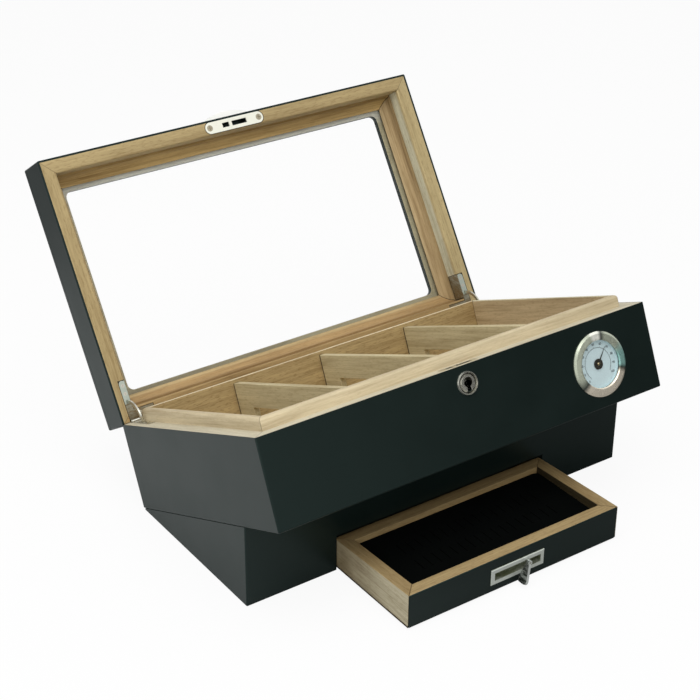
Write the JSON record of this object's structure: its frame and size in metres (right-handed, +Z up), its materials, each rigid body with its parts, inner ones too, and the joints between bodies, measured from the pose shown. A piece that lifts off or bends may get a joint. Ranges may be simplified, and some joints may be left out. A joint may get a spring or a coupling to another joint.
{
  "type": "cigar humidor",
  "caption": "Cigar humidor: tilted cedar-lined case on a wedge base, with a glazed hinged lid, sliding dividers, a lock, a round hygrometer and a drawer in the base.",
  "frame": {"origin": "middle of the underside of the base floor, on the surface that the humidor stands on", "axes": "+X to the right along the hinge, +Y to the back, +Z up"},
  "size_m": [0.406, 0.4821, 0.2779],
  "materials": {
    "black_lacquer": "satin black lacquer over wood, bare wood on the rims",
    "cedar": "bare cedar",
    "drawer_wood": "bare wood",
    "hardboard": "dark hardboard",
    "window_glass": "clear",
    "foam": "black flocked foam",
    "nickel": "polished nickel",
    "dark_nickel": "polished nickel",
    "cup_plastic": "matt black",
    "dial_white": "printed white",
    "needle_black": "matt black"
  },
  "bodies": {
    "case": {"case_front": "black_lacquer", "case_back": "black_lacquer", "case_left": "black_lacquer", "case_right": "black_lacquer", "base_front": "black_lacquer", "base_left": "black_lacquer", "base_right": "black_lacquer", "case_floor": "black_lacquer", "base_floor": "hardboard", "drawer_guide_left": "drawer_wood", "drawer_guide_right": "drawer_wood", "lining_front": "cedar", "lining_back": "cedar", "lining_left": "cedar", "lining_right": "cedar", "lining_floor": "cedar", "hinge_case_leaf_left": "nickel", "hinge_case_leaf_right": "nickel", "hinge_pin_left": "nickel", "hinge_pin_right": "nickel", "hinge_case_screws": "nickel", "lock_case": "nickel", "lock_escutcheon": "nickel", "lock_screws": "nickel", "hygrometer_cup": "cup_plastic", "hygrometer_dial": "dial_white", "hygrometer_bezel": "nickel", "hygrometer_glass": "window_glass"},
    "lid": {"lid_front": "black_lacquer", "lid_back": "black_lacquer", "lid_left": "black_lacquer", "lid_right": "black_lacquer", "lid_panel": "black_lacquer", "moulding_front": "cedar", "moulding_back": "cedar", "moulding_left": "cedar", "moulding_right": "cedar", "lid_glass": "window_glass", "hinge_lid_leaf_left": "nickel", "hinge_lid_leaf_right": "nickel", "hinge_lid_screws": "nickel", "strike_screws": "nickel", "strike_plate": "nickel", "lid_lift_tab": "nickel"},
    "hinge_arms": {"hinge_arm_left": "nickel", "hinge_arm_right": "nickel"},
    "drawer": {"drawer_front": "black_lacquer", "drawer_back": "drawer_wood", "drawer_left": "drawer_wood", "drawer_right": "drawer_wood", "drawer_bottom": "hardboard", "drawer_foam": "foam", "pull_frame": "nickel", "pull_pin": "nickel"},
    "pull_tab": {"pull_tab": "dark_nickel"},
    "lock_bolt": {"lock_bolt": "nickel"},
    "needle": {"hygrometer_needle": "needle_black"},
    "divider_1": {"divider_1": "cedar"},
    "divider_2": {"divider_2": "cedar"},
    "divider_3": {"divider_3": "cedar"}
  },
  "joints": [
    {"name": "lid_hinge", "type": "hinge", "parent": "case", "child": "lid", "pos_m": [0, 0.11778, 0.07202], "axis": [1, 0, 0], "range_deg": [0, 99]},
    {"name": "arm_hinge", "type": "hinge", "parent": "case", "child": "hinge_arms", "pos_m": [0, 0.11778, 0.07202], "axis": [1, 0, 0], "range_deg": [0, 49.5]},
    {"name": "drawer_slide", "type": "slide", "parent": "case", "child": "drawer", "axis": [0, 1, 0], "range_m": [0, 0.1008]},
    {"name": "pull_swing", "type": "hinge", "parent": "drawer", "child": "pull_tab", "pos_m": [0.011, -0.18818, 0.0189], "axis": [0, 1, 0], "range_deg": [-108, 42]},
    {"name": "bolt_slide", "type": "slide", "parent": "case", "child": "lock_bolt", "axis": [0, 0.4099, 0.9121], "range_m": [0, 0.006]},
    {"name": "needle_turn", "type": "hinge", "parent": "case", "child": "needle", "pos_m": [0.14, -0.12304, 0.13678], "axis": [0, -0.9121, 0.4099], "range_deg": [-90.5, 169.5]},
    {"name": "divider_1_slide", "type": "slide", "parent": "case", "child": "divider_1", "axis": [1, 0, 0], "range_m": [-0.0858, 0.0439]},
    {"name": "divider_2_slide", "type": "slide", "parent": "case", "child": "divider_2", "axis": [1, 0, 0], "range_m": [-0.0439, 0.0455]},
    {"name": "divider_3_slide", "type": "slide", "parent": "case", "child": "divider_3", "axis": [1, 0, 0], "range_m": [-0.0455, 0.0806]}
  ],
  "couplings": [
    {"joint": "arm_hinge", "follows": "lid_hinge", "ratio": 0.5}
  ]
}
